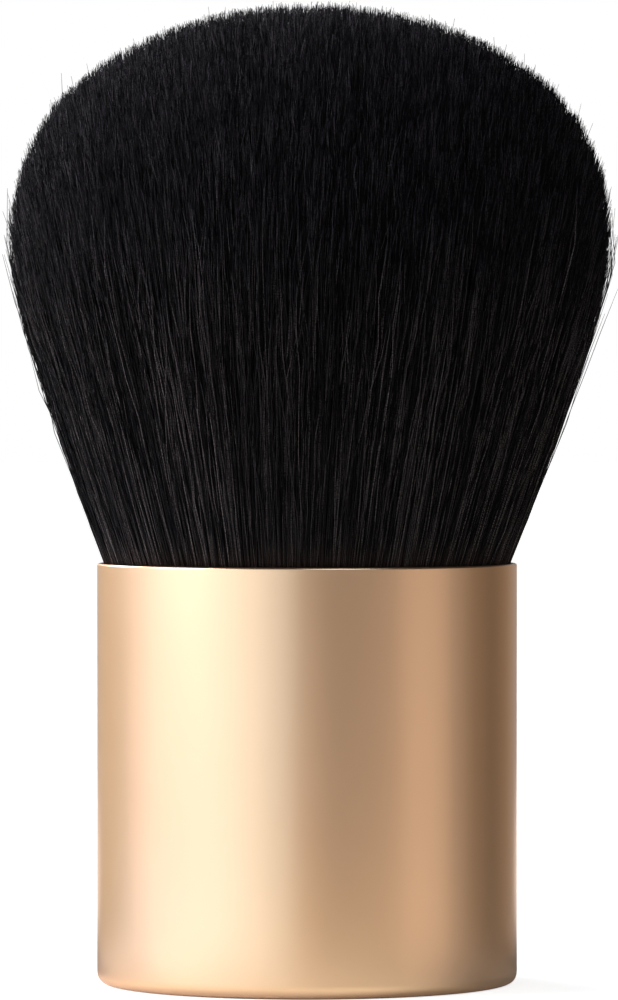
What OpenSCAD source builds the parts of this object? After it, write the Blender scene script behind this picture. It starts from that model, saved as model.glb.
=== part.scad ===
// Short round powder brush: a drawn metal barrel with a dense domed head of bristles.
// Millimetres, +Z up. The origin is the centre of the flat base that the brush stands on.
// The pieces stack up inside the shell: tape, weight, foam, core, ferrule, resin, bristles.

/* [Outer shell] */
// Outside diameter of the drawn metal shell
shell_d = 32; // [29:0.5:36]
// Height of the shell, from the base to the lip
shell_h = 32; // [28:0.5:38]
// Thickness of the side wall, whose lip is rolled to a full round
shell_wall = 0.4; // [0.3:0.05:0.7]
// Thickness of the floor
shell_floor = 0.5; // [0.3:0.05:1]
// Outside radius of the edge round the base
base_edge_r = 1.1; // [0.8:0.05:1.5]

/* [Bristle head] */
// Widest diameter of the head
head_d = 46.2; // [42:0.2:52]
// Length of bristle that stands above the lip
bristle_out = 42.8; // [36:0.2:50]
// Height of the dome, from the widest place to the top
dome_h = 16.1; // [12:0.1:20]
// Length of the tapered tip of a strand
tip_l = 1.8; // [1:0.1:4]
// Gap between the outermost strands and the lip
lip_gap = 0.1; // [0.05:0.05:0.4]

/* [Inner core] */
// Wall round the ferrule
socket_wall = 0.95; // [0.7:0.05:1.3]
// Wall round the weight
skirt_wall = 1.15; // [0.8:0.05:1.6]
// Thickness of the web between the weight and the ferrule
web_t = 1.5; // [1:0.1:2.5]
// Diameter of the air hole through the web
vent_d = 2; // [1.5:0.1:3]
// Width of each glue groove round the outside
glue_groove_w = 1.2; // [0.8:0.1:2]
// Depth of each glue groove
glue_groove_depth = 0.3; // [0.2:0.05:0.45]

/* [Weight and pads] */
// Thickness of the steel weight
weight_t = 6; // [4:0.5:8]
// Bevel round both edges of the weight
weight_bevel = 0.4; // [0.2:0.05:0.8]
// Thickness of the foam disc above the weight
foam_t = 2; // [1:0.1:3]
// How far the foam disc's edge lies inside the weight's
foam_inset = 0.8; // [0.3:0.1:2]
// Thickness of the double-sided tape disc under the weight
tape_t = 0.5; // [0.2:0.05:1]
// How far the tape disc's edge lies inside the weight's
tape_inset = 2.3; // [1:0.1:5]

/* [Ferrule and root] */
// Wall of the ferrule
ferrule_wall = 0.3; // [0.2:0.05:0.5]
// How far the ferrule's lower rim is turned in
ferrule_turn_in = 1.2; // [0.6:0.1:2]
// Depth of resin above the ferrule's turned-in rim
resin_t = 5; // [3:0.5:7]
// Thickness of the thread that binds the root
thread_d = 0.5; // [0.3:0.05:0.8]
// Height of the binding's lowest turn above the resin
binding_up = 1.5; // [1:0.1:3]

/* [Fits] */
// Radial gap between the shell and the core
core_gap = 0.1; // [0.05:0.01:0.2]
// Radial gap between any other piece and what it is glued or bound into
fit_gap = 0.05; // [0.02:0.01:0.1]

/* [Hidden] */

// Steps in each small arc of a turned outline, and round a turned piece
arc_steps = 8;
turn_fn = 180;
// One overrun for all cuts
overrun = 1;

// Outer shell
shell_r = shell_d / 2;
shell_bore_r = shell_r - shell_wall;
floor_edge_r = base_edge_r - shell_wall;

// Inner core, and the two hollows that it holds
core_r = shell_bore_r - core_gap;
socket_r = core_r - socket_wall;
pocket_r = core_r - skirt_wall;
core_chamfer = floor_edge_r;
weight_r = pocket_r - fit_gap;

// Ferrule and the root of the tuft inside it
ferrule_r = socket_r - fit_gap;
ferrule_bore_r = ferrule_r - ferrule_wall;
root_r = ferrule_bore_r - fit_gap;

// Heights of the stack, from the floor up
tape_z = shell_floor;
weight_z = tape_z + tape_t;
foam_z = weight_z + weight_t;
web_z = foam_z + foam_t;
ferrule_z = web_z + web_t;
resin_z = ferrule_z + ferrule_wall;
root_z = resin_z + resin_t;

// Outline of the head, as radius and height: it leaves the lip along a straight line, bends at the
// knee, is widest at the belly and closes in a half ellipse. The shares place the knee between the lip
// and the belly.
head_r = head_d / 2;
knee_height_share = 0.75;
knee_radius_share = 0.92;
lip_r = shell_bore_r - lip_gap;
belly_z = shell_h + bristle_out - dome_h;
knee_z = shell_h + knee_height_share * (belly_z - shell_h);
knee_r = lip_r + knee_radius_share * (head_r - lip_r);

// The straight line, carried down inside the lip, meets the root's radius at the ferrule's mouth
flare = (knee_r - lip_r) / (knee_z - shell_h);
mouth_z = shell_h - (lip_r - root_r) / flare;

// Binding: turns of thread side by side in a groove round the root
binding_turns = 3;
thread_pitch_share = 0.9;
thread_pitch = thread_pitch_share * thread_d;
binding_z = root_z + binding_up;
binding_h = (binding_turns - 1) * thread_pitch + thread_d;
thread_seat_r = root_r - thread_d;
groove_r = thread_seat_r - fit_gap;

// Middles of the two bands of glue round the core, level with the weight and with the binding
low_glue_z = weight_z + weight_t / 2;
high_glue_z = binding_z + binding_h / 2;

// Strands: the root's top is divided into triangular cells in this many bands, and one strand grows
// from each cell. The shares are a strand's size to its cell's at the root and below its tip.
sectors = 6;
bands = 8;
strand_share = 0.92;
shoulder_share = 0.86;

function arc(centre, r, from, to) = [
    for (i = [0 : arc_steps])
        let (a = from + (to - from) * i / arc_steps)
        centre + r * [cos(a), sin(a)]
];

// The drawn cup, outlined from the base's centre round the outside, over the lip and back inside
module outer_shell() {
    lip_round = shell_wall / 2;
    color("#d9b184")
    rotate_extrude($fn = turn_fn)
    polygon(concat(
        [[0, 0]],
        arc([shell_r - base_edge_r, base_edge_r], base_edge_r, -90, 0),
        arc([shell_r - lip_round, shell_h - lip_round], lip_round, 0, 180),
        arc([shell_bore_r - floor_edge_r, shell_floor + floor_edge_r], floor_edge_r, 0, -90),
        [[0, shell_floor]]
    ));
}

module base_tape() {
    color("gainsboro")
    translate([0, 0, tape_z])
    cylinder(r = weight_r - tape_inset, h = tape_t, $fn = turn_fn);
}

module weight() {
    color("silver")
    translate([0, 0, weight_z])
    rotate_extrude($fn = turn_fn)
    polygon([
        [0, 0],
        [weight_r - weight_bevel, 0],
        [weight_r, weight_bevel],
        [weight_r, weight_t - weight_bevel],
        [weight_r - weight_bevel, weight_t],
        [0, weight_t]
    ]);
}

module foam_spacer() {
    color("dimgray")
    translate([0, 0, foam_z])
    cylinder(r = weight_r - foam_inset, h = foam_t, $fn = turn_fn);
}

// A flat ring about the axis, with its middle at height z
module ring(outer_r, inner_r, h, z) {
    translate([0, 0, z - h / 2])
    difference() {
        cylinder(r = outer_r, h = h, $fn = turn_fn);
        translate([0, 0, -overrun])
        cylinder(r = inner_r, h = h + 2 * overrun, $fn = turn_fn);
    }
}

// A groove round the outside of the core, for glue
module glue_groove(z) {
    ring(core_r + overrun, core_r - glue_groove_depth, glue_groove_w, z);
}

// A moulded sleeve: the ferrule's socket above the web, the weight's pocket below it
module inner_core() {
    color("ivory")
    difference() {
        rotate_extrude($fn = turn_fn)
        polygon([
            [0, shell_floor],
            [core_r - core_chamfer, shell_floor],
            [core_r, shell_floor + core_chamfer],
            [core_r, mouth_z],
            [0, mouth_z]
        ]);
        translate([0, 0, ferrule_z])
        cylinder(r = socket_r, h = mouth_z - ferrule_z + overrun, $fn = turn_fn);
        translate([0, 0, shell_floor - overrun])
        cylinder(r = pocket_r, h = web_z - shell_floor + overrun, $fn = turn_fn);
        translate([0, 0, web_z - overrun])
        cylinder(d = vent_d, h = web_t + 2 * overrun, $fn = turn_fn);
        glue_groove(low_glue_z);
        glue_groove(high_glue_z);
    }
}

// Glue set in the grooves, which holds the core in the shell
module glue_beads() {
    color("khaki")
    for (z = [low_glue_z, high_glue_z])
        ring(
            shell_bore_r - fit_gap, core_r - glue_groove_depth + fit_gap,
            glue_groove_w - 2 * fit_gap, z
        );
}

// A thin tube, open at the top, with its lower rim turned in under the resin
module ferrule() {
    color("lightgray")
    translate([0, 0, ferrule_z])
    difference() {
        cylinder(r = ferrule_r, h = mouth_z - ferrule_z, $fn = turn_fn);
        translate([0, 0, ferrule_wall])
        cylinder(r = ferrule_bore_r, h = mouth_z - ferrule_z, $fn = turn_fn);
        translate([0, 0, -overrun])
        cylinder(
            r = ferrule_bore_r - ferrule_turn_in, h = ferrule_wall + 2 * overrun, $fn = turn_fn
        );
    }
}

// Resin fills the ferrule below the root, and the hole in its turned-in rim
module resin_plug() {
    color("wheat")
    union() {
        translate([0, 0, resin_z])
        cylinder(r = ferrule_bore_r - fit_gap, h = resin_t, $fn = turn_fn);
        translate([0, 0, ferrule_z])
        cylinder(
            r = ferrule_bore_r - ferrule_turn_in - fit_gap, h = ferrule_wall + resin_t / 2,
            $fn = turn_fn
        );
    }
}

module root_binding() {
    color("white")
    rotate_extrude($fn = turn_fn)
    for (i = [0 : binding_turns - 1])
        translate([thread_seat_r + thread_d / 2, binding_z + thread_d / 2 + i * thread_pitch])
        circle(d = thread_d, $fn = 24);
}

// Corner i on circle k of the cells, counted from the middle of the root's top
function cell_corner(k, i) =
    k == 0 ? [0, 0] :
    let (a = 360 * i / (sectors * k))
    root_r * k / bands * [cos(a), sin(a)];
// Its number among the corners of all circles
function corner_number(k, i) =
    k == 0 ? 0 : 1 + sectors * k * (k - 1) / 2 + i % (sectors * k);

// Each cell as three [circle, corner] pairs, anticlockwise from above: first the cells that have
// two corners on their outer circle, then those that have one
cells = concat(
    [for (k = [1 : bands], s = [0 : sectors - 1], j = [0 : k - 1])
        [[k, s * k + j], [k, s * k + j + 1], [k - 1, s * (k - 1) + j]]],
    [for (k = [2 : bands], s = [0 : sectors - 1], j = [0 : k - 2])
        [[k - 1, s * (k - 1) + j], [k, s * k + j + 1], [k - 1, s * (k - 1) + j + 1]]]
);

function raised(p, z) = [p[0], p[1], z];

// The strand of one cell: three rings of three points that spread with the head, then the tip.
// Every strand spreads from the axis in the same proportion, so none crosses another.
function strand_points(cell) =
    let (
        corners = [for (c = cell) cell_corner(c[0], c[1])],
        middle = (corners[0] + corners[1] + corners[2]) / 3,
        knee_spread = knee_r / root_r,
        head_spread = head_r / root_r,
        from_axis = norm(middle) / root_r,
        tip_z = belly_z + dome_h * sqrt(1 - from_axis * from_axis)
    )
    concat(
        [for (c = corners) raised(middle + strand_share * (c - middle), mouth_z)],
        [for (c = corners) raised(knee_spread * (middle + strand_share * (c - middle)), knee_z)],
        [for (c = corners)
            raised(head_spread * (middle + shoulder_share * (c - middle)), tip_z - tip_l)],
        [raised(head_spread * middle, tip_z)]
    );

// Two triangles between side i of a lower triangle or ring and the one above it
function wall_faces(low_a, low_b, high_a, high_b) = [[low_a, low_b, high_b], [low_a, high_b, high_a]];

function strand_faces(cell, first) =
    let (corner = [for (c = cell) corner_number(c[0], c[1])])
    [for (i = [0 : 2]) let (j = (i + 1) % 3)
        each concat(
            wall_faces(corner[i], corner[j], first + i, first + j),
            wall_faces(first + i, first + j, first + 3 + i, first + 3 + j),
            wall_faces(first + 3 + i, first + 3 + j, first + 6 + i, first + 6 + j),
            [[first + 6 + i, first + 6 + j, first + 9]]
        )
    ];

// All strands and the bound slice of root under them, as one closed skin
module bristle_tuft() {
    rim = sectors * bands;
    points_each = 10;
    groove_low = binding_z - fit_gap;
    groove_high = binding_z + binding_h + fit_gap;
    side = [
        [root_r, groove_high], [groove_r, groove_high], [groove_r, groove_low],
        [root_r, groove_low], [root_r, root_z]
    ];

    top_points = [
        for (k = [0 : bands], i = [0 : max(sectors * k, 1) - 1])
            raised(cell_corner(k, i), mouth_z)
    ];
    side_points = [
        for (s = side, i = [0 : rim - 1])
            raised(s[0] / root_r * cell_corner(bands, i), s[1])
    ];
    strands = [for (cell = cells) each strand_points(cell)];

    first_side = len(top_points);
    first_strand = first_side + len(side_points);
    foot = first_strand + len(strands);

    side_faces = [
        for (s = [0 : len(side) - 1], i = [0 : rim - 1])
            let (
                j = (i + 1) % rim,
                low = first_side + s * rim,
                high = s == 0 ? first_side - rim : low - rim
            )
            each wall_faces(low + i, low + j, high + i, high + j)
    ];
    foot_faces = [
        for (i = [0 : rim - 1])
            let (last = first_strand - rim)
            [last + (i + 1) % rim, last + i, foot]
    ];
    all_strand_faces = [
        for (n = [0 : len(cells) - 1])
            each strand_faces(cells[n], first_strand + n * points_each)
    ];

    color("#1b1a1d")
    polyhedron(
        points = concat(top_points, side_points, strands, [[0, 0, root_z]]),
        faces = [
            for (f = concat(side_faces, foot_faces, all_strand_faces)) [f[2], f[1], f[0]]
        ]
    );
}

outer_shell();
base_tape();
weight();
foam_spacer();
inner_core();
glue_beads();
ferrule();
resin_plug();
root_binding();
bristle_tuft();
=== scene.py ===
import math

import bpy
import numpy as np
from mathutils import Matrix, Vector, kdtree


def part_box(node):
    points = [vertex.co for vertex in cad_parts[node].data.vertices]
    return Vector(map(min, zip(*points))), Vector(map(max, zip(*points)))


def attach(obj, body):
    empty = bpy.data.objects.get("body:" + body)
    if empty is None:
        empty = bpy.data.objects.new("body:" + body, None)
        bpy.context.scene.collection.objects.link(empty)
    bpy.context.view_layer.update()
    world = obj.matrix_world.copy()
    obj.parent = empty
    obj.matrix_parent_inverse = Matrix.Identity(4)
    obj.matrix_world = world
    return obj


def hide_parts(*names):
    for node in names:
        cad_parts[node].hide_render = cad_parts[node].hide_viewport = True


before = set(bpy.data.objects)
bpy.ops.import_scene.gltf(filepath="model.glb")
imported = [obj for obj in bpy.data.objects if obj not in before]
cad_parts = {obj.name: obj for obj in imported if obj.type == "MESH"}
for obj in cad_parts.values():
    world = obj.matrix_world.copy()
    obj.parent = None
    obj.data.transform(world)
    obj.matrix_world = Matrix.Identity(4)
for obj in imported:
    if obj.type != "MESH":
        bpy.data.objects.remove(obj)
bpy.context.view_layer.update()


# Outer shell. A cup deep-drawn from one disc of aluminium, so it has no seam. Its lip is rolled to
# a full round and its base edge keeps the radius of the punch. It is blasted to a satin so fine
# that no grain shows, then anodised champagne gold.

_, shell_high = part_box("outer_shell")
shell_r = shell_high.x
shell_h = shell_high.z
shell_wall = 0.0004
shell_floor = 0.0005
base_edge_r = 0.0011
floor_edge_r = base_edge_r - shell_wall
lip_bevel = 0.48 * shell_wall
shell_sides = 256
edge_steps = 16
edge_fullness = 0.6
lip_steps = 4
shell_crease = math.radians(40)
gold = (0.86, 0.565, 0.355, 1)
pale_gold = (0.89, 0.61, 0.4, 1)
edge_gold = (0.99, 0.92, 0.84, 1)


def start(kind, name, **place):
    """Adds a primitive with nothing else selected, and puts its place into its mesh."""
    bpy.ops.object.select_all(action="DESELECT")
    kind(**place)
    piece = bpy.context.object
    piece.name = name
    bpy.ops.object.transform_apply(location=True, rotation=True, scale=True)
    return piece


def select_edges(mesh, wanted):
    """Selects only the edges that have both ends where wanted() says, in edit mode."""
    bpy.ops.mesh.select_mode(type="EDGE")
    bpy.ops.mesh.select_all(action="DESELECT")
    bpy.ops.object.mode_set(mode="OBJECT")
    for edge in mesh.edges:
        edge.select = all(wanted(mesh.vertices[i].co) for i in edge.vertices)
    bpy.ops.object.mode_set(mode="EDIT")


def select_top(mesh):
    """Selects only the flat face on top of a piece, in edit mode."""
    bpy.ops.mesh.select_mode(type="FACE")
    bpy.ops.mesh.select_all(action="DESELECT")
    bpy.ops.object.mode_set(mode="OBJECT")
    max(mesh.polygons, key=lambda face: face.center.z).select = True
    bpy.ops.object.mode_set(mode="EDIT")


def same(a, b):
    """True if two lengths differ by less than a micrometre."""
    return abs(a - b) < 1e-6


shell = start(
    bpy.ops.mesh.primitive_cylinder_add, "barrel",
    vertices=shell_sides, radius=shell_r, depth=shell_h, location=(0, 0, shell_h / 2),
)
cup = shell.data
bpy.ops.object.mode_set(mode="EDIT")

# The top is drawn in to the wall's thickness, then sunk to the floor
select_top(cup)
bpy.ops.mesh.inset(thickness=shell_wall, depth=0)
bpy.ops.mesh.extrude_region_move(
    TRANSFORM_OT_translate={"value": (0, 0, shell_floor - shell_h)}
)

select_edges(cup, lambda end: same(end.z, 0))
bpy.ops.mesh.bevel(
    offset=base_edge_r, segments=edge_steps, profile=edge_fullness, affect="EDGES"
)
select_edges(cup, lambda end: same(end.z, shell_floor))
bpy.ops.mesh.bevel(offset=floor_edge_r, segments=edge_steps, affect="EDGES")
select_edges(cup, lambda end: same(end.z, shell_h))
bpy.ops.mesh.bevel(offset=lip_bevel, segments=lip_steps, affect="EDGES")
bpy.ops.object.mode_set(mode="OBJECT")
bpy.ops.object.shade_smooth_by_angle(angle=shell_crease)


class Wire:
    """An output of a node. Arithmetic on it adds Math nodes behind it."""

    def __init__(self, shading, socket):
        self.shading = shading
        self.socket = socket

    def other(self, name):
        """Another output of the same node."""
        return Wire(self.shading, self.socket.node.outputs[name])

    def maths(self, operation, other=0.0, reflected=False):
        """A Math node on this wire and another wire or number, which comes first if reflected."""
        pair = (other, self) if reflected else (self, other)
        return self.shading.node("ShaderNodeMath", {"operation": operation}, dict(enumerate(pair)))

    def __add__(self, other):
        return self.maths("ADD", other)

    def __sub__(self, other):
        return self.maths("SUBTRACT", other)

    def __rsub__(self, other):
        return self.maths("SUBTRACT", other, reflected=True)

    def __mul__(self, other):
        return self.maths("MULTIPLY", other)

    def __truediv__(self, other):
        return self.maths("DIVIDE", other)

    def __rtruediv__(self, other):
        return self.maths("DIVIDE", other, reflected=True)

    def __pow__(self, other):
        return self.maths("POWER", other)

    def __rpow__(self, other):
        return self.maths("POWER", other, reflected=True)

    __radd__ = __add__
    __rmul__ = __mul__


class Shading:
    """The nodes of a material or of the world."""

    def __init__(self, owner):
        owner.use_nodes = True
        self.tree = owner.node_tree

    def node(self, kind, settings=None, inputs=None, output=0):
        """Adds a node: its settings first, then the values or wires of its sockets."""
        made = self.tree.nodes.new(kind)
        for name, value in (settings or {}).items():
            setattr(made, name, value)
        for socket, value in (inputs or {}).items():
            if isinstance(value, Wire):
                self.tree.links.new(value.socket, made.inputs[socket])
            else:
                made.inputs[socket].default_value = value
        return Wire(self, made.outputs[output])

    def place(self, stretch=(1, 1, 1)):
        """The piece's own coordinates in metres, multiplied by stretch."""
        own = self.node("ShaderNodeTexCoord", output="Object")
        return self.node("ShaderNodeMapping", {}, {"Vector": own, "Scale": stretch})

    def noise(self, where, scale, detail=2.0):
        """Soft noise from 0 to 1, with scale lumps to the unit."""
        return self.node(
            "ShaderNodeTexNoise", {}, {"Vector": where, "Scale": scale, "Detail": detail}
        )

    def spread(self, wire, low, high):
        """Stretches a wire's values so that low becomes 0 and high becomes 1."""
        return self.node(
            "ShaderNodeMapRange", {}, {"Value": wire, "From Min": low, "From Max": high}
        )

    def between(self, share, low, high):
        """The colour at a share from 0 to 1 of the way from low to high."""
        ends = {"Factor": share, "A": low, "B": high}
        return self.node("ShaderNodeMix", {"data_type": "RGBA"}, ends, "Result")


class Finish(Shading):
    """A material with one Principled shader. Its plain values are given by the sockets' names."""

    def __init__(self, name, values):
        self.material = bpy.data.materials.new(name)
        super().__init__(self.material)
        self.shader = self.tree.nodes["Principled BSDF"]
        for socket, value in values.items():
            self.shader.inputs[socket].default_value = value

    def feed(self, socket, wire):
        """Leads a wire to one of the shader's sockets."""
        self.tree.links.new(wire.socket, self.shader.inputs[socket])

    def relief(self, height, depth, strength=1.0):
        """Leads a height from 0 to 1 to the shader's Normal, as a relief of this depth."""
        bump = {"Height": height, "Distance": depth, "Strength": strength}
        self.feed("Normal", self.node("ShaderNodeBump", {}, bump))


# The grain is far finer than a pixel, so it only softens what the metal mirrors. The colour
# drifts a little with the thickness of the anodised layer.
grain_scale = 9000
drift_scale = 90
grain_depth = 0.000004
anodised = Finish(
    "champagne gold anodising",
    {
        "Metallic": 1.0, "Specular Tint": edge_gold,
        "Coat Weight": 0.15, "Coat Roughness": 0.3, "Coat IOR": 1.6,
    },
)
grain = anodised.noise(anodised.place(), grain_scale, detail=3)
drift = anodised.noise(anodised.place(), drift_scale)
anodised.feed("Base Color", anodised.between(grain * 0.3 + drift * 0.7, gold, pale_gold))
anodised.feed("Roughness", 0.25 + grain * 0.06 + drift * 0.03)
anodised.relief(grain, grain_depth, 0.12)
cup.materials.append(anodised.material)

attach(shell, "root")
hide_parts("outer_shell")


# Base tape. A disc die-cut from white foam tape with an acrylic glue on both faces. It holds the
# weight to the floor of the shell.

cell_scale = 5000
cell_depth = 0.00005


def dress(node, finish):
    """Gives a node of the frame its finish."""
    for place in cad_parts[node].material_slots:
        place.material = finish.material


tape = Finish("white foam tape", {"Roughness": 0.9})
cells = tape.node("ShaderNodeTexVoronoi", {}, {"Vector": tape.place(), "Scale": cell_scale})
tape.feed("Base Color", tape.between(cells, (0.70, 0.70, 0.67, 1), (0.84, 0.84, 0.82, 1)))
tape.relief(cells, cell_depth, 0.5)
dress("base_tape", tape)


# Weight. A disc parted off steel bar, faced, chamfered and plated with zinc. It keeps so short a
# brush standing upright under its wide head.

lathe_pitch = 0.00012
lathe_depth = 0.000006
haze_scale = 400
plated = Finish("zinc-plated steel", {"Metallic": 1.0})
from_axis = plated.node(
    "ShaderNodeVectorMath", {"operation": "LENGTH"}, {0: plated.place((1, 1, 0))}, "Value"
)
turning = from_axis.maths("PINGPONG", lathe_pitch) / lathe_pitch
haze = plated.noise(plated.place(), haze_scale)
plated.feed("Base Color", plated.between(haze, (0.52, 0.54, 0.56, 1), (0.66, 0.67, 0.66, 1)))
plated.feed("Roughness", 0.3 + haze * 0.2)
plated.relief(turning, lathe_depth, 0.6)
dress("weight", plated)


# Foam spacer. A disc punched from black closed-cell foam. It fills the space over the weight, so
# that nothing rattles.

pore_scale = 2600
pore_depth = 0.00025
foam = Finish("black closed-cell foam", {"Roughness": 0.95})
pores = foam.node("ShaderNodeTexVoronoi", {}, {"Vector": foam.place(), "Scale": pore_scale})
foam.feed("Base Color", foam.between(pores, (0.012, 0.012, 0.013, 1), (0.07, 0.07, 0.072, 1)))
foam.relief(pores, pore_depth, 0.9)
dress("foam_spacer", foam)


# Inner core. A sleeve injection-moulded in ivory ABS: the ferrule's socket above, the weight's
# pocket below and a web with an air hole between them.

spark_scale = 3200
spark_depth = 0.00002
flow_scale = 120
flow_stretch = (1, 1, 0.3)
ivory = Finish("ivory moulded plastic", {"IOR": 1.53})
spark = ivory.noise(ivory.place(), spark_scale, detail=4)
flow = ivory.noise(ivory.place(flow_stretch), flow_scale)
ivory.feed("Base Color", ivory.between(flow, (0.62, 0.58, 0.49, 1), (0.70, 0.67, 0.58, 1)))
ivory.feed("Roughness", 0.42 + spark * 0.16)
ivory.relief(spark, spark_depth, 0.4)
dress("inner_core", ivory)


# Glue beads. Two bands of amber hot-melt glue, squeezed into grooves round the core as it went in.
# They hold the core in the seamless shell.

bead_scale = 700
bead_depth = 0.00006
amber = Finish(
    "set hot-melt glue", {"IOR": 1.48, "Subsurface Weight": 0.3, "Subsurface Scale": 0.0006}
)
swell = amber.noise(amber.place(), bead_scale)
amber.feed("Base Color", amber.between(swell, (0.52, 0.40, 0.18, 1), (0.68, 0.57, 0.32, 1)))
amber.feed("Roughness", 0.3 + swell * 0.15)
amber.relief(swell, bead_depth, 0.5)
dress("glue_beads", amber)


# Ferrule. A thin aluminium tube, drawn to size and cut off, with its lower rim turned in under the
# resin. Draw marks run up its wall.

mark_scale = 4200
mark_stretch = (1, 1, 0.01)
mark_depth = 0.000008
drawn = Finish("bright drawn aluminium", {"Metallic": 1.0})
marks = drawn.noise(drawn.place(mark_stretch), mark_scale, detail=3)
drawn.feed("Base Color", drawn.between(marks, (0.74, 0.75, 0.76, 1), (0.84, 0.85, 0.86, 1)))
drawn.feed("Roughness", 0.16 + marks * 0.18)
drawn.relief(marks, mark_depth, 0.4)
dress("ferrule", drawn)


# Resin plug. Clear epoxy poured into the ferrule over the cut roots, where it set with small
# bubbles in it.

bubble_scale = 1500
bubble_depth = 0.00005
cloud_scale = 260
resin = Finish("set epoxy", {"IOR": 1.55, "Coat Weight": 0.4, "Coat Roughness": 0.08})
bubbles = resin.node("ShaderNodeTexVoronoi", {}, {"Vector": resin.place(), "Scale": bubble_scale})
cloud = resin.noise(resin.place(), cloud_scale)
resin.feed("Base Color", resin.between(cloud, (0.40, 0.27, 0.11, 1), (0.55, 0.41, 0.20, 1)))
resin.feed("Roughness", 0.12 + cloud * 0.1)
resin.relief(bubbles, bubble_depth, 0.25)
dress("resin_plug", resin)


# Root binding. Three turns of white bonded nylon thread, wound tight into the bundle before it
# goes into the ferrule. The thread's own twist shows as slanting ridges.

strand_width = 0.0002
strand_depth = 0.00005
thread = Finish("bonded nylon thread", {"Roughness": 0.55})
thread_low, thread_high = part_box("root_binding")
thread_place = thread.node("ShaderNodeSeparateXYZ", {}, {0: thread.place()})
round_turn = thread_place.other("Y").maths("ARCTAN2", thread_place.other("X")) * thread_high.x
slant = round_turn + thread_place.other("Z")
ridges = slant.maths("PINGPONG", strand_width) / strand_width
thread.feed("Base Color", thread.between(ridges, (0.60, 0.59, 0.55, 1), (0.85, 0.84, 0.80, 1)))
thread.relief(ridges, strand_depth, 0.7)
dress("root_binding", thread)


# Heart of the tuft. The fibres stand so close that only their outer ends can be seen, so the bound
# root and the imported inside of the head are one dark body, from the resin up to just under the
# tips.

tuft_low, tuft_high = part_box("bristle_tuft")
_, ferrule_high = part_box("ferrule")
mouth_z = ferrule_high.z
root_z = tuft_low.z
ferrule_wall = 0.0003
fit_gap = 0.00005
root_r = ferrule_high.x - ferrule_wall - fit_gap
thread_d = 0.0005
groove_r = root_r - thread_d - fit_gap
lip_gap = 0.0001
lip_r = shell_r - shell_wall - lip_gap
head_r = 0.0231
dome_h = 0.0161
shoulder_share = 0.52
shoulder_flat = 0.014
belly_z = tuft_high.z - dome_h
side_h = 0.03
spread_gain = 0.024
spread_length = 0.062
heart_share = 0.9
heart_depth = 0.0024
heart_sides = 96
heart_rings = 12
heart_crease = math.radians(50)


def fan(z):
    """How far from the axis the outermost fibre has spread at height z."""
    inside = root_r + (lip_r - root_r) * (z - mouth_z) / (shell_h - mouth_z)
    outside = lip_r + spread_gain * (1 - np.exp(-(z - shell_h) / spread_length))
    return np.where(z < shell_h, inside, outside)


def dome(z, deep=0.0):
    """Radius of the head's cut surface at height z, or of one that lies deeper by so much.

    It is half an ellipse with its shoulder cut a little flatter.
    """
    half = np.where(z > belly_z, dome_h - deep, side_h)
    rise = np.clip((z - belly_z) / half, -1, 1)
    flat = shoulder_flat * np.sin(np.pi * np.clip(rise / shoulder_share, 0, 1))
    return (head_r - deep) * (np.sqrt(1 - rise * rise) - flat)


def turn(name, outline, sides):
    """A closed round body, drawn up ring by ring through pairs of radius and height."""
    radius, height = outline[0]
    body = start(
        bpy.ops.mesh.primitive_circle_add, name,
        vertices=sides, radius=radius, fill_type="NGON", location=(0, 0, height),
    )
    bpy.ops.object.mode_set(mode="EDIT")
    bpy.ops.mesh.select_all(action="SELECT")
    for next_radius, next_height in outline[1:]:
        bpy.ops.mesh.extrude_region_move(
            TRANSFORM_OT_translate={"value": (0, 0, next_height - height)}
        )
        share = next_radius / radius
        bpy.ops.transform.resize(
            value=(share, share, 1), center_override=(0, 0, next_height)
        )
        radius, height = next_radius, next_height
    bpy.ops.mesh.select_all(action="SELECT")
    bpy.ops.mesh.normals_make_consistent(inside=False)
    bpy.ops.object.mode_set(mode="OBJECT")
    return body


outline = [
    (root_r, root_z),
    (root_r, thread_low.z),
    (groove_r, thread_low.z),
    (groove_r, thread_high.z),
    (root_r, thread_high.z),
    (root_r, mouth_z),
]
for z in np.linspace(mouth_z, belly_z, heart_rings):
    outline.append((min(heart_share * fan(z), head_r - heart_depth), z))
for quarter in np.linspace(0, math.pi / 2, heart_rings, endpoint=False)[1:]:
    z = belly_z + (dome_h - heart_depth) * math.sin(quarter)
    outline.append((min(heart_share * fan(z), dome(z, heart_depth)), z))
heart = turn("tuft_heart", outline, heart_sides)
bpy.ops.object.shade_smooth_by_angle(angle=heart_crease)

streak_scale = 5200
streak_stretch = (1, 1, 0.02)
streak_depth = 0.0002
packed = Finish("packed fibres", {"Roughness": 0.7, "Specular IOR Level": 0.15})
streaks = packed.noise(packed.place(streak_stretch), streak_scale, detail=3)
packed.feed(
    "Base Color", packed.between(streaks, (0.0015, 0.0015, 0.0015, 1), (0.008, 0.0075, 0.008, 1))
)
packed.relief(streaks, streak_depth, 0.8)
heart.data.materials.append(packed.material)

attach(heart, "root")
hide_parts("bristle_tuft")


# Bristles. Straight black synthetic fibres under a tenth of a millimetre thick, drawn to soft
# points. They spread from the mouth of the ferrule by their own spring, and the head is shaped to a
# dome in a cup before it is bound. A long and a short fibre are modelled once each, then planted.

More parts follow.
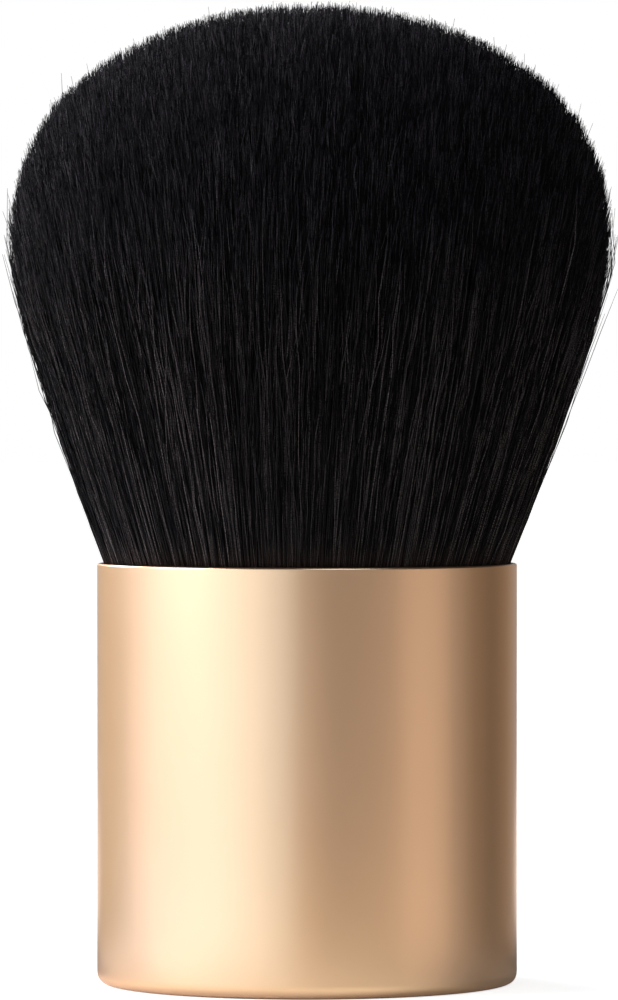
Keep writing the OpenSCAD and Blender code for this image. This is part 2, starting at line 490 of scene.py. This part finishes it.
fibre_r = 0.000031
point_r = 0.000014
taper_l = 0.003
taper_power = 0.7
long_l = 0.031
short_l = 0.006
short_foot_share = 1 - short_l / long_l
long_rings = (0, 0.15, 0.27, 0.39, 0.51, 0.63, 0.75, 0.87, 1)
short_rings = (0, 0.65, 1)
fibre_sides = 3
fibre_count = 85000
outer_pieces = 6
inner_pieces = 6
tones = 64
lean = 0.00045
gather_l = 0.005
clump_count = 14000
clump_pull = 0.55
gather_power = 1.5
stand_power = 2
sway_power = 1.5
fibre_kink = 0.00018
stray_kink = 0.00005
tip_kink_share = 0.35
halvings = 30
cap_width = 0.4
cap_height = 0.005
column_margin = 0.1
seed = 11
random = np.random.default_rng(seed)

# Each fibre has one of the tones, and glints are painted into its colour in short stretches, where
# a coat shines too. The glints are painted lighter and browner low on the shaft and darker and
# cooler towards its point, as painted light and shade over the head, and the point itself is
# painted paler as a painted glint. Just above the lip a warm brown is painted on, a painted
# reflection of the metal.
dapple_scale = 65
column_shift = 7.3
dapple_edge = (0.42, 0.6)
tip_share = 0.96
lip_glow_edge = (0.25, 0.15)
dapple_depth = 0.000004
black = (0.0014, 0.0013, 0.0021, 1)
grey_brown = (0.262, 0.211, 0.205, 1)
plum = (0.075, 0.056, 0.078, 1)
slate = (0.051, 0.054, 0.076, 1)
painted_lip_light = (0.063, 0.039, 0.031, 1)
bristle = Finish(
    "black fibre", {"Specular IOR Level": 0.08, "Coat Roughness": 0.35, "Coat IOR": 1.5}
)
map_place = bristle.node("ShaderNodeUVMap", {"uv_map": "OFBake"})
strip = bristle.node("ShaderNodeSeparateXYZ", {}, {0: map_place})
up = strip.other("Y")
column = (strip.other("X") * tones).maths("FLOOR")
tone = bristle.node("ShaderNodeTexWhiteNoise", {"noise_dimensions": "1D"}, {"W": column})
dapple = bristle.node(
    "ShaderNodeTexNoise", {"noise_dimensions": "1D"},
    {"W": up * dapple_scale + column * column_shift, "Detail": 0.0},
)
# Painted highlights: glints painted into the colour in short stretches, where the coat shines too
glint = tone ** 4 * bristle.spread(dapple, *dapple_edge)
# A painted glint: the point of each fibre is painted paler
tip = bristle.spread(up, tip_share, 1.0)
hue = bristle.node("ShaderNodeTexWhiteNoise", {"noise_dimensions": "1D"}, {"W": column + 0.5})
# Painted light and shade: lighter and browner low on the shaft, darker and cooler at the point
sheen = bristle.between(up ** 11, grey_brown, bristle.between(hue, plum, slate))
ink = bristle.between(glint + tip * tone ** 3 * 0.3, black, sheen)
# A painted reflection: warm brown painted on just above the lip for the light of the metal
lip_glow = bristle.spread(up, *lip_glow_edge) * (tone * 0.7 + 0.2)
bristle.feed("Base Color", bristle.between(lip_glow, ink, painted_lip_light))
bristle.feed("Coat Weight", glint)
bristle.feed("Roughness", 0.6 - tone * 0.3)
bristle.relief(dapple, dapple_depth, 0.3)


def model_fibre(name, length, shares):
    """One upright fibre of this length, with a ring at each share of it."""
    rings = []
    for share in shares:
        from_tip = min(1, length * (1 - share) / taper_l)
        radius = point_r + (fibre_r - point_r) * from_tip ** taper_power
        rings.append((radius, length * share))
    return turn(name, rings, fibre_sides)


long_fibre = model_fibre("long_fibre", long_l, long_rings)
short_fibre = model_fibre("short_fibre", short_l, short_rings)


def cut_height(rho, outward):
    """Height at which a fibre that starts at a share rho of the root's radius meets the cut."""
    low = np.full_like(rho, belly_z - side_h / 2)
    high = np.full_like(rho, belly_z + dome_h)
    for _ in range(halvings):
        middle = (low + high) / 2
        inside = rho * fan(middle) + outward < dome(middle)
        low = np.where(inside, middle, low)
        high = np.where(inside, high, middle)
    return low


def unwrap(faces, corners, foot_share):
    """Where each corner of each face lies across and up a fibre's column of the map.

    The sides are laid out flat, and the foot and the point as small rounds inside them.
    """
    places = []
    for face in faces:
        ends = corners[face]
        angle = np.arctan2(ends[:, 1], ends[:, 0])
        up = foot_share + (1 - foot_share) * ends[:, 2] / corners[:, 2].max()
        if same(ends[:, 2].min(), ends[:, 2].max()):
            across = 0.5 + cap_width * np.cos(angle)
            inward = 1 if same(ends[0, 2], 0) else -1
            up = up + inward * cap_height * (1 + np.sin(angle))
        else:
            centre = ends.mean(axis=0)
            middle = np.arctan2(centre[1], centre[0])
            across = 0.5 + (middle + (angle - middle + np.pi) % (2 * np.pi) - np.pi) / (2 * np.pi)
        places.append(np.stack([np.clip(across, 0, 1), up], axis=1))
    return np.concatenate(places)


def plant(name, fibre, foot_share, kink, *paths):
    """Copies a fibre along its own path for each place in the root, as one piece.

    The paths come as arrays: shares of the root's radius, azimuths, heights of the feet and of the
    tips, how far the fibres lean aside and outward, and how far their tips are drawn aside and out.
    """
    model = fibre.data
    corners = np.array([vertex.co[:] for vertex in model.vertices])
    faces = [list(face.vertices) for face in model.polygons]
    share = corners[:, 2] / corners[:, 2].max()
    count = len(paths[0])
    rho, around, foot_z, tip_z, aside, outward, tip_aside, tip_out = (
        values[:, None] for values in paths
    )

    # Up the fan, moved aside and outward the more it has risen, and drawn in at its tip
    z = foot_z + share * (tip_z - foot_z)
    risen = np.clip((z - mouth_z) / (tip_z - mouth_z), 0, 1)
    gathered = np.clip(1 - (tip_z - z) / gather_l, 0, 1) ** gather_power
    rings, ring_of = np.unique(share.round(4), return_inverse=True)
    kinks = random.normal(0, kink, (2, count, len(rings)))[:, :, ring_of] * risen
    kinks *= np.where(share < 1, 1, tip_kink_share)
    radius = rho * fan(z) + outward * risen ** stand_power + tip_out * gathered + kinks[0]
    sideways = aside * risen ** sway_power + tip_aside * gathered + kinks[1]
    spin = random.uniform(0, 2 * np.pi, (count, 1))
    x = radius * np.cos(around) - sideways * np.sin(around)
    y = radius * np.sin(around) + sideways * np.cos(around)
    x += corners[:, 0] * np.cos(spin) - corners[:, 1] * np.sin(spin)
    y += corners[:, 0] * np.sin(spin) + corners[:, 1] * np.cos(spin)
    x += lean * np.clip((z - shell_h) / (tuft_high.z - shell_h), 0, 1)
    points = np.stack([x, y, z], axis=2)

    sizes = [len(face) for face in faces]
    starts = np.cumsum([0] + sizes[:-1])
    loops = np.concatenate(faces)
    copy = np.arange(count)[:, None]
    mesh = bpy.data.meshes.new(name)
    mesh.vertices.add(count * len(corners))
    mesh.vertices.foreach_set("co", points.ravel())
    mesh.loops.add(count * len(loops))
    mesh.loops.foreach_set("vertex_index", (copy * len(corners) + loops).ravel())
    mesh.polygons.add(count * len(faces))
    mesh.polygons.foreach_set("loop_start", (copy * len(loops) + starts).ravel())
    mesh.polygons.foreach_set("use_smooth", np.ones(count * len(faces), dtype=bool))
    mesh.update(calc_edges=True)

    # Each fibre lies in one of the columns of the map, which sets its tone
    places = unwrap(faces, corners, foot_share)
    column = random.integers(0, tones, (count, 1))
    across = (column + column_margin + (1 - 2 * column_margin) * places[:, 0]) / tones
    up = np.broadcast_to(places[:, 1], across.shape)
    layer = mesh.uv_layers.new(name="OFBake")
    layer.data.foreach_set("uv", np.stack([across, up], axis=2).ravel())
    mesh.materials.append(bristle.material)

    piece = bpy.data.objects.new(name, mesh)
    bpy.context.collection.objects.link(piece)
    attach(piece, "root")
    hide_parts("bristle_tuft")


# Places in the root, spaced evenly by the golden angle and then shaken
golden = math.pi * (3 - math.sqrt(5))
radial_shake = 0.4 / math.sqrt(fibre_count)
turn_shake = 0.002
innermost_share = 0.001
outermost_share = 0.995
number = np.arange(fibre_count)
rho = np.sqrt((number + 0.5) / fibre_count) + random.normal(0, radial_shake, fibre_count)
rho = np.clip(rho, innermost_share, outermost_share)
around = number * golden + random.normal(0, turn_shake, fibre_count) / rho
around = around % (2 * np.pi)

# Tips draw together in small clumps, and a few are hooked
tip_scatter = 0.00008
hooked_share = 0.004
hook = 0.0009
clumps = kdtree.KDTree(clump_count)
clump_rho = np.sqrt(random.uniform(0, 1, clump_count))
clump_around = random.uniform(0, 2 * np.pi, clump_count)
clump_x = clump_rho * np.cos(clump_around)
clump_y = clump_rho * np.sin(clump_around)
for n in range(clump_count):
    clumps.insert((clump_x[n], clump_y[n], 0), n)
clumps.balance()
root_x = rho * np.cos(around)
root_y = rho * np.sin(around)
nearest = np.array([clumps.find((x, y, 0))[1] for x, y in zip(root_x, root_y)])
pull_x = clump_pull * (clump_x[nearest] - root_x) * head_r
pull_y = clump_pull * (clump_y[nearest] - root_y) * head_r
pull_out = pull_x * np.cos(around) + pull_y * np.sin(around)
pull_aside = pull_y * np.cos(around) - pull_x * np.sin(around)
tip_aside = pull_aside + random.normal(0, tip_scatter, fibre_count)
tip_out = pull_out + random.normal(0, tip_scatter, fibre_count)
hooked = random.uniform(0, 1, fibre_count) < hooked_share
tip_aside = np.where(hooked, random.normal(0, hook, fibre_count), tip_aside)

# Locks sway to one side or the other, and single fibres cross them
sway_size = 0.0006
sway_waves = (3, 5, 9, 14, 23, 37)
crossing = 0.0006
wild_share = 0.2
wild_crossing = 0.0018
sway = sum(
    sway_size / wave ** 0.5 * np.sin(wave * around + random.uniform(0, 2 * math.pi))
    for wave in sway_waves
)
aside = sway + random.normal(0, crossing, fibre_count)
wild = random.uniform(0, 1, fibre_count) < wild_share
aside = np.where(wild, sway + random.normal(0, wild_crossing, fibre_count), aside)

# Fibres stand in or out a little, and at the skin of the head whole clumps do
fibre_stand = 0.00012
clump_stand = 0.0002
skin = np.clip((rho - heart_share) / (1 - heart_share), 0, 1)
outward = random.normal(0, fibre_stand, fibre_count)
outward = outward + skin * random.normal(0, clump_stand, clump_count)[nearest]

# Tips end at the cut a little unevenly, and more so round the side. Some fibres are shorter, and
# a very few stand proud.
clump_uneven = 0.00056
fibre_uneven = 0.00034
side_uneven = 0.0016
short_share = 0.1
short_by = (0.0004, 0.0025)
proud_share = 0.0013
proud_by = (0.0001, 0.0005)
uneven = random.exponential(clump_uneven, clump_count)[nearest]
uneven = uneven + random.exponential(fibre_uneven, fibre_count)
short = random.uniform(0, 1, fibre_count) < short_share
uneven = np.where(short, random.uniform(*short_by, fibre_count), uneven)
proud = random.uniform(0, 1, fibre_count) < proud_share
uneven = np.where(proud, -random.uniform(*proud_by, fibre_count), uneven)
side_cut = random.exponential(side_uneven, clump_count)[nearest] * skin
tip_z = cut_height(rho, outward + tip_out) - uneven - side_cut

# Two fibres stand up alone over the left of the dome: how far to the side and how high they end
lone_tips = ((-0.0191, 0.0693), (-0.0079, 0.0744))
for x, z in lone_tips:
    tip_z[np.argmin(np.hypot(root_x * fan(z) - x, root_y * fan(z)))] = z

root_depth = 0.0006
short_lengths = (0.9, 1.1)
long_ones = rho > heart_share
short_foot_z = tip_z - short_l * random.uniform(*short_lengths, fibre_count)
foot_z = np.where(long_ones, mouth_z - root_depth, short_foot_z)

paths = (rho, around, foot_z, tip_z, aside, outward, tip_aside, tip_out)
for kind, fibre, foot_share, chosen, pieces in (
    ("outer", long_fibre, 0, long_ones, outer_pieces),
    ("inner", short_fibre, short_foot_share, ~long_ones, inner_pieces),
):
    sector = (around * pieces / (2 * np.pi)).astype(int)
    for n in range(pieces):
        here = chosen & (sector == n)
        plant(
            f"bristles_{kind}_{n + 1:02}", fibre, foot_share, fibre_kink,
            *(values[here] for values in paths),
        )


# Stray bristles. Long fibres that have worked loose: single ones stand off all round the head, and
# thin locks of them at its left and right sides.

# Azimuth in degrees from the right-hand side, tip height, how far out they stand, how far their
# tips turn in again, and how many
locks = (
    (179, 0.0594, 0, 0.0011, 4),
    (181, 0.0569, 0.0001, 0.0003, 4),
    (176, 0.0545, 0.0003, 0, 2),
    (184, 0.0590, 0, 0.0013, 2),
    (1, 0.0584, 0.0006, 0.0014, 5),
    (358, 0.0566, 0.0004, 0.0005, 5),
    (357, 0.0526, 0.0011, 0, 1),
    (2, 0.0512, 0.0006, 0, 1),
)
lock_sizes = [lock[-1] for lock in locks]
azimuth, lock_tip, lock_out, lock_in, _ = np.repeat(locks, lock_sizes, axis=0).T
loose_count = 120
loose_tips = (0.048, 0.0595)
loose_stand = 0.0006
turn_shift = 0.004
height_shift = 0.0005
aside_shift = 0.0008
outward_shift = 0.00008
tip_aside_shift = 0.0003
tip_outward_shift = 0.0001
loose_tip = random.uniform(*loose_tips, loose_count)
loose_in = np.clip(fan(loose_tip) - head_r, 0, None)
loose_around = random.uniform(0, 2 * math.pi, loose_count)
stray_around = np.concatenate([np.radians(azimuth), loose_around])
stray_tip = np.concatenate([lock_tip, loose_tip])
stray_out = np.concatenate([lock_out, random.uniform(0, loose_stand, loose_count)])
stray_in = np.concatenate([lock_in, loose_in])
stray_count = len(stray_around)


def strayed(size):
    """A random shift of about this size for each stray fibre."""
    return random.normal(0, size, stray_count)


plant(
    "bristles_stray", long_fibre, 0, stray_kink,
    np.full(stray_count, outermost_share), stray_around + strayed(turn_shift),
    np.full(stray_count, mouth_z - root_depth), stray_tip + strayed(height_shift),
    strayed(aside_shift), stray_out + strayed(outward_shift),
    strayed(tip_aside_shift), strayed(tip_outward_shift) - stray_in,
)

for fibre in (long_fibre, short_fibre):
    bpy.data.objects.remove(fibre)


# Studio. The brush stands on a sheet of pale acrylic in a ring of soft panels, bright on the left
# and dim on the right, with three large lamps higher up. The sheet is matt to the eye, keeps a
# faint shadow and runs out to white.

floor_reach = 6
floor_gap = 0.00002
white_edge = (0.05, 0.35)
wedge_edge = (0.98, 0.995)
wedge_near = (0.4, 0.1)
wedge_gain = 0.11
floor = start(
    bpy.ops.mesh.primitive_plane_add, "floor",
    size=2 * floor_reach, location=(0, 0, -floor_gap),
)


def grey(level):
    """A colour with the same red, green and blue."""
    return (level, level, level, 1)


def whitened(shading, behind):
    """1 where the eye looks straight, or by way of metal or glass where behind is 1."""
    path = shading.node("ShaderNodeLightPath", output="Is Camera Ray")
    return path + (path.other("Is Glossy Ray") + path.other("Is Transmission Ray")) * behind


acrylic = Finish("white acrylic", {"Emission Strength": 1.0, "IOR": 1.49})
floor_place = acrylic.place()
floor_axes = acrylic.node("ShaderNodeSeparateXYZ", {}, {0: floor_place})
from_brush = acrylic.node(
    "ShaderNodeVectorMath", {"operation": "LENGTH"}, {0: floor_place}, "Value"
)
rightward = floor_axes.other("X") / from_brush
backward = floor_axes.other("Y") / from_brush


def floor_ring(none, full, sinking, gone):
    """1 in a ring round the brush that rises and sinks between these distances from the axis."""
    return acrylic.spread(from_brush, none, full) * acrylic.spread(from_brush, gone, sinking)


# The floor's glow in the metal stands for the light that the barrel throws in front and the panels
# on the left. Each glow lies to one side, given by its shares to the right and to the back and by
# how far round it reaches, in a ring round the brush, and has a strength and a colour.
floor_glows = (
    ((0.24, -0.97), (0.1, 0.95), (0.025, 0.06, 0.12, 0.26), 0.3, (1, 0.85, 0.62, 1)),
    ((-0.25, -0.97), (0.3, 0.85), (0.0158, 0.0172, 0.018, 0.065), 0.42, (1, 1, 0.75, 1)),
    ((-0.97, -0.26), (0.5, 0.95), (0.02, 0.045, 0.12, 0.26), 0.33, (0.3, 0.6, 1, 1)),
)
mirrored = grey(0)
for (right_share, back_share), side_edge, distances, strength, colour in floor_glows:
    side = acrylic.spread(rightward * right_share + backward * back_share, *side_edge)
    glow_share = side * floor_ring(*distances) * strength
    mirrored = acrylic.between(glow_share, mirrored, colour)
glossy = acrylic.node("ShaderNodeLightPath", output="Is Glossy Ray")
mirrored = acrylic.between(glossy, grey(0), mirrored)

# To the eye the floor glows more the farther out it is. The metal sees the same straight behind
# the brush, in a wedge that widens towards it.
far = acrylic.spread(from_brush, *white_edge)
lift = acrylic.between(far, grey(0.78), grey(1))
wedge = acrylic.spread(
    backward + acrylic.spread(from_brush, *wedge_near) * wedge_gain, *wedge_edge
)
acrylic.feed("Emission Color", acrylic.between(whitened(acrylic, wedge), mirrored, lift))

# In the metal it is polished farther out and matt round the brush, where a painted shade darkens it
# behind on both sides of the wedge
polish_edge = (0.022, 0.05)
rear_edge = (0.0, 0.5)
rear_end = (0.98, 0.85)
rear_reach = (0.06, 0.035)
fleck_scale = 300
unseen = 1 - acrylic.node("ShaderNodeLightPath", output="Is Camera Ray")
polish = acrylic.spread(from_brush, *polish_edge) * unseen
rear = acrylic.spread(backward, *rear_edge) * acrylic.spread(backward, *rear_end)
rear_shade = rear * acrylic.spread(from_brush, *rear_reach) * unseen
fleck = acrylic.noise(floor_place, fleck_scale)
pale = acrylic.between(fleck, grey(0.82), grey(0.84))
# Painted shade: the floor's colour darkens behind the brush for every ray but the eye's
acrylic.feed("Base Color", acrylic.between(rear_shade * 0.7, pale, grey(0)))
acrylic.feed("Metallic", polish * 0.7)
acrylic.feed("Roughness", 0.9 + fleck * 0.03 - polish * 0.85)
floor.data.materials.append(acrylic.material)

# The air is dim, but white to the eye, and white in the metal straight behind the brush
sky_edge = (0.985, 0.996)
world = bpy.data.worlds.new("studio")
bpy.context.scene.world = world
air = Shading(world)
direction = air.node("ShaderNodeSeparateXYZ", {}, {0: air.node("ShaderNodeTexCoord")})
sky = whitened(air, air.spread(direction.other("Y"), *sky_edge))
sky_colour = air.between(sky, grey(0.04), grey(1))
background = air.tree.nodes["Background"]
air.tree.links.new(sky_colour.socket, background.inputs["Color"])

panel_distance = 0.7
panel_step = 15
panel_w = 2 * panel_distance * math.tan(math.radians(panel_step / 2))
cool = (0.95, 0.935, 1.0)
pale_blue = (0.82, 0.93, 1.0)
pearl = (1.0, 1.0, 0.94)
straw = (1.0, 0.9, 0.72)
warm = (1.0, 0.86, 0.76)
honey = (1.0, 0.76, 0.53)

# How bright each panel is, from behind on the left, round by the front, to behind on the right
left_panels = (
    (0.43, pale_blue), (0.58, straw), (0.63, straw), (0.66, pearl), (1.1, cool), (1.43, cool),
    (1.46, cool), (1.58, cool), (1.6, pale_blue), (1.45, pale_blue), (1.08, pale_blue),
)
right_panels = (
    (0.49, warm), (0.32, warm), (0.37, warm), (0.46, warm), (0.74, warm), (0.7, warm), (0.35, warm),
    (0.2, honey), (0.13, honey), (0.22, honey), (0.36, warm), (0.47, cool),
)
left_panel_h = 0.42
right_panel_h = 0.25

# Large lamps: place, height of the target on the axis, width, height, radiance and tint
large_lamps = (
    ((-0.63, -0.15, 0.41), 0.05, 0.4, 0.22, 11.0, cool),
    ((-0.46, 0.45, 0.36), 0.06, 0.5, 0.3, 7.0, cool),
    ((0.21, -0.57, 0.56), 0.05, 0.4, 0.3, 2.6, pale_blue),
)


def panel(place, target, width, height, radiance, tint):
    """A rectangular lamp at a place, turned towards its target."""
    lamp = bpy.data.lights.new("panel", "AREA")
    lamp.shape = "RECTANGLE"
    lamp.size = width
    lamp.size_y = height
    lamp.energy = radiance * math.pi * width * height
    lamp.color = tint
    holder = bpy.data.objects.new("panel", lamp)
    bpy.context.collection.objects.link(holder)
    holder.location = place
    holder.rotation_euler = (place - target).to_track_quat("Z", "Y").to_euler()
    holder.visible_camera = False


for panels, height, from_front in (
    (left_panels, left_panel_h, -len(left_panels)), (right_panels, right_panel_h, 0)
):
    for n, (radiance, tint) in enumerate(panels):
        angle = math.radians((n + from_front) * panel_step)
        middle = Vector((0, 0, height / 2))
        offset = panel_distance * Vector((math.sin(angle), -math.cos(angle), 0))
        panel(middle + offset, middle, panel_w, height, radiance, tint)
for place, aim_height, width, height, radiance, tint in large_lamps:
    panel(Vector(place), Vector((0, 0, aim_height)), width, height, radiance, tint)

# The camera looks slightly down from far off with a long lens
lens_mm = 240
sensor_mm = 36
camera_place = Vector((0.00015, -0.508, 0.043))
camera_aim = Vector((0.00015, 0, 0.0368))
camera_data = bpy.data.cameras.new("camera")
camera_data.sensor_fit = "VERTICAL"
camera_data.sensor_height = sensor_mm
camera_data.lens = lens_mm
camera = bpy.data.objects.new("camera", camera_data)
bpy.context.collection.objects.link(camera)
camera.location = camera_place
camera.rotation_euler = (camera_aim - camera_place).to_track_quat("-Z", "Y").to_euler()
bpy.context.scene.camera = camera
bpy.context.scene.view_settings.view_transform = "Standard"
